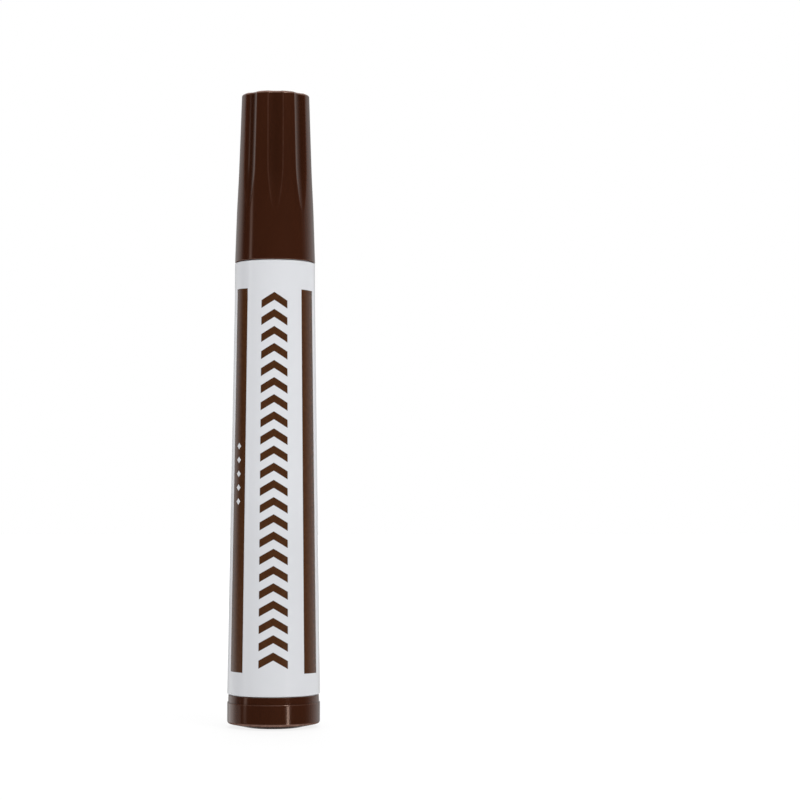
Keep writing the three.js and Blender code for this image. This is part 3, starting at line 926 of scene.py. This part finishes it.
holder_outline = rounded(
    [
        (HOLDER_BORE, holder_low.z, HOLDER_EDGE),
        (HOLDER_SPIGOT_RADIUS, holder_low.z, HOLDER_EDGE),
        (HOLDER_SPIGOT_RADIUS, holder_seat, 0),
        (holder_high.x, holder_seat, HOLDER_EDGE),
        (holder_high.x, flange_top, HOLDER_EDGE),
        (HOLDER_LAND_RADIUS, flange_top + HOLDER_CONE, HOLDER_EDGE),
        (HOLDER_LAND_RADIUS, holder_high.z - HOLDER_LIP, HOLDER_EDGE),
        (HOLDER_BORE + HOLDER_LIP_WALL, holder_high.z, HOLDER_EDGE),
        (HOLDER_BORE, holder_high.z, HOLDER_EDGE),
    ]
)
white_nose = turned("white_nose", holder_outline, HOLDER_SIDES, vented)
white_nose.data.materials.append(white_plastic)
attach(white_nose, "pen")
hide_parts("nib_holder")


# Nib
# A rod of pressed polyester felt with a ground bullet tip, pushed through the holder into the
# reservoir. Ink has stained it brown, darkest at the tip.
NIB_BULLET_LENGTH = 4.4 * MM
NIB_TAIL_CHAMFER = 0.6 * MM
NIB_FUZZ = 0.035 * MM  # how far the ground surface is uneven
FUZZ_ROUND = 9
FUZZ_PER_MM = 0.4  # along the fibres
BULLET_STEPS = 20
NIB_SIDES = 128

nib_low, nib_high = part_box("nib")
nib_radius = nib_high.x
bullet_start = nib_high.z - NIB_BULLET_LENGTH


def fuzzy(angle, radius, height):
    """The felt's surface, uneven along its fibres."""
    where = Vector((cos(angle) * FUZZ_ROUND, sin(angle) * FUZZ_ROUND, height / MM * FUZZ_PER_MM))
    return radius - NIB_FUZZ * abs(noise.noise(where)) * min(1, radius / nib_radius * 2), 0


bullet = []
for step in range(BULLET_STEPS):
    share = pi / 2 * step / BULLET_STEPS
    bullet.append((nib_radius * cos(share), bullet_start + NIB_BULLET_LENGTH * sin(share), 0))
nib_outline = [
    (0, nib_low.z, 0),
    (nib_radius - NIB_TAIL_CHAMFER, nib_low.z, 0),
    (nib_radius, nib_low.z + NIB_TAIL_CHAMFER, 0),
    *bullet,
    (0, nib_high.z, 0),
]
felt_nib = turned("felt_nib", nib_outline, NIB_SIDES, fuzzy)
nib_felt = soaked_felt(
    "nib_felt",
    dry=record_colour("nib_felt", 1.5),
    wet=record_colour("nib_felt", 0.7),
    strands=6000,
    soak=260,
    strand_depth=0.1 * MM,
)
felt_nib.data.materials.append(nib_felt)
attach(felt_nib, "pen")
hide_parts("nib")


# Cap liner
# The inner cup, moulded in soft unpigmented plastic and pressed up into the cap. Its bore slides over
# the nib holder's land and keeps the ink from drying out.
LINER_WALL = 0.8 * MM
LINER_ROOF = 0.9 * MM
LINER_LEAD_IN = 0.4 * MM
LINER_EDGE = 0.15 * MM
LINER_SIDES = 192

liner_low, liner_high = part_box("cap_liner")
liner_radius = liner_high.x
liner_bore = liner_radius - LINER_WALL
liner_ceiling = liner_high.z - LINER_ROOF

liner_outline = rounded(
    [
        (0, liner_ceiling, 0),
        (liner_bore, liner_ceiling, LINER_EDGE * 2),
        (liner_bore, liner_low.z + LINER_LEAD_IN, LINER_EDGE),
        (liner_bore + LINER_LEAD_IN, liner_low.z, LINER_EDGE),
        (liner_radius, liner_low.z, LINER_EDGE),
        (liner_radius, liner_high.z, LINER_EDGE),
        (0, liner_high.z, 0),
    ]
)
sealing_cup = turned("sealing_cup", liner_outline, LINER_SIDES)
natural_plastic = moulded_plastic(
    "natural_plastic",
    colours=(record_colour("natural_plastic", 0.94), record_colour("natural_plastic", 1.02)),
    edge_colour=record_colour("natural_plastic", 1.08),
    gloss=(0.42, 0.6),
    clouds=120,
    grains=3000,
    grain_depth=0.012 * MM,
)
sealing_cup.data.materials.append(natural_plastic)
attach(sealing_cup, "cap")
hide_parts("cap_liner")


# Cap
# The dark brown cap, injection-moulded with a slight draft. Eight shallow flutes give the fingers a hold
# and run out towards its mouth, and a bead inside snaps behind the one on the neck.
CAP_TOP_RADIUS = 6.575 * MM  # at the lands between the flutes
CAP_TOP_ROUND = 0.5 * MM
CAP_MOUTH_WALL = 1.05 * MM
CAP_MOUTH_CHAMFER = 0.25 * MM
CAP_EDGE = 0.1 * MM
CAP_ROOF = 1.6 * MM
CAP_BEAD_LIFT = 2.6 * MM
CAP_NARROWING = (99.2 * MM, 101.2 * MM)  # where the bore steps in to hold the liner
CAP_LINER_BORE = 5.275 * MM
FLUTE_COUNT = 8
FLUTE_DEPTH = 0.45 * MM
FLUTE_RADIUS = 3.6 * MM
FLUTE_LENGTH = 23 * MM
FLUTE_RUN_OUT = 7.5 * MM
RUN_OUT_SOFT = 0.2  # how gently the run-out turns into the full depth
RUN_OUT_REACH = 1.4  # how far up fine rings are needed, in run-outs
CREST_ROUND = 0.04 * MM  # on the flutes' edges
CREST_LEAST = 0.2  # the share of that where a flute ends
CREST_MARK_REACH = 0.06 * MM  # how far the wear and painted highlight of an edge reach into a flute
CREST_WEAR_AND_HIGHLIGHT = 0.23
# Painted shade in the flutes, darker where they are deeper.
FLUTE_HOLLOW_SHADE = 0.22
SIDES_PER_FLUTE = 64
LOWER_RINGS, RUN_OUT_RINGS, UPPER_RINGS = 4, 36, 5
TOP_RINGS = (0.75, 0.5)  # as shares of the top's radius

cap_low, cap_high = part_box("cap")
cap_mouth, cap_mouth_radius, cap_top = cap_low.z, cap_high.x, cap_high.z
cap_bore = cap_mouth_radius - CAP_MOUTH_WALL
cap_ceiling = cap_top - CAP_ROOF
flute_end = cap_top - FLUTE_LENGTH


def cap_radius(height):
    """The cone of the lands between the flutes."""
    share = (height - cap_mouth) / (cap_top - cap_mouth)
    return cap_mouth_radius + (CAP_TOP_RADIUS - cap_mouth_radius) * share


def soft_least(first, second, soft):
    """The lesser of two numbers, with a rounded change from one to the other."""
    return (first + second - hypot(first - second, soft)) / 2


def fluted(angle, radius, height):
    """The cap's outside with the flutes hollowed out, with wear and a painted highlight along their
    edges and painted shade inside.
    """
    cone = cap_radius(height)
    outer_wall = radius > cone - CAP_MOUTH_WALL / 2
    if height <= flute_end or not (outer_wall or height > cap_ceiling):
        return radius, 0
    share = soft_least((height - flute_end) / FLUTE_RUN_OUT, 1, RUN_OUT_SOFT)
    depth = FLUTE_DEPTH * max(share, 0)
    axis = cone + FLUTE_RADIUS - depth
    off = off_centre(angle, FLUTE_COUNT)
    hollow = axis * cos(off) - sqrt(max(FLUTE_RADIUS**2 - (axis * sin(off)) ** 2, 0))
    rounding = CREST_ROUND * max(share, CREST_LEAST)
    bite = cone - soft_least(cone, hollow, rounding)
    rim = clamp((radius - CAP_TOP_RADIUS / 2) / (CAP_TOP_RADIUS / 2 - CAP_TOP_ROUND))
    edge = exp(-(((cone - hollow) / CREST_MARK_REACH) ** 2)) * share
    # Wear and a painted highlight along the flutes' edges, and painted shade inside them by depth.
    relief_mark = CREST_WEAR_AND_HIGHLIGHT * edge - FLUTE_HOLLOW_SHADE * clamp(bite / FLUTE_DEPTH)
    return radius - bite * rim, relief_mark if outer_wall else 0


def wall_corners(low, high, count):
    """Corners up the cap's outside from low to high, without low."""
    heights = [low + (high - low) * step / count for step in range(1, count + 1)]
    return [(cap_radius(height), height, 0) for height in heights]


run_out_end = flute_end + FLUTE_RUN_OUT * RUN_OUT_REACH
cap_outline = rounded(
    [
        (0, cap_ceiling, 0),
        (CAP_LINER_BORE, cap_ceiling, CAP_EDGE),
        (CAP_LINER_BORE, CAP_NARROWING[1], CAP_EDGE),
        (cap_bore, CAP_NARROWING[0], CAP_EDGE),
        *reversed(bead(cap_bore, cap_mouth + CAP_BEAD_LIFT, -BEAD_HEIGHT)),
        (cap_bore, cap_mouth + CAP_MOUTH_CHAMFER, 0),
        (cap_bore + CAP_MOUTH_CHAMFER, cap_mouth, CAP_EDGE),
        (cap_mouth_radius, cap_mouth, CAP_EDGE),
        *wall_corners(cap_mouth, flute_end, LOWER_RINGS),
        *wall_corners(flute_end, run_out_end, RUN_OUT_RINGS),
        *wall_corners(run_out_end, cap_top - 2 * CAP_TOP_ROUND, UPPER_RINGS),
        (CAP_TOP_RADIUS, cap_top, CAP_TOP_ROUND),
        *((CAP_TOP_RADIUS * share, cap_top, 0) for share in TOP_RINGS),
        *reversed(gate_mark(cap_top, 1)),
    ]
)
fluted_cap = turned("fluted_cap", cap_outline, FLUTE_COUNT * SIDES_PER_FLUTE, fluted)
fluted_cap.data.materials.append(brown_plastic)
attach(fluted_cap, "cap")
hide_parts("cap")
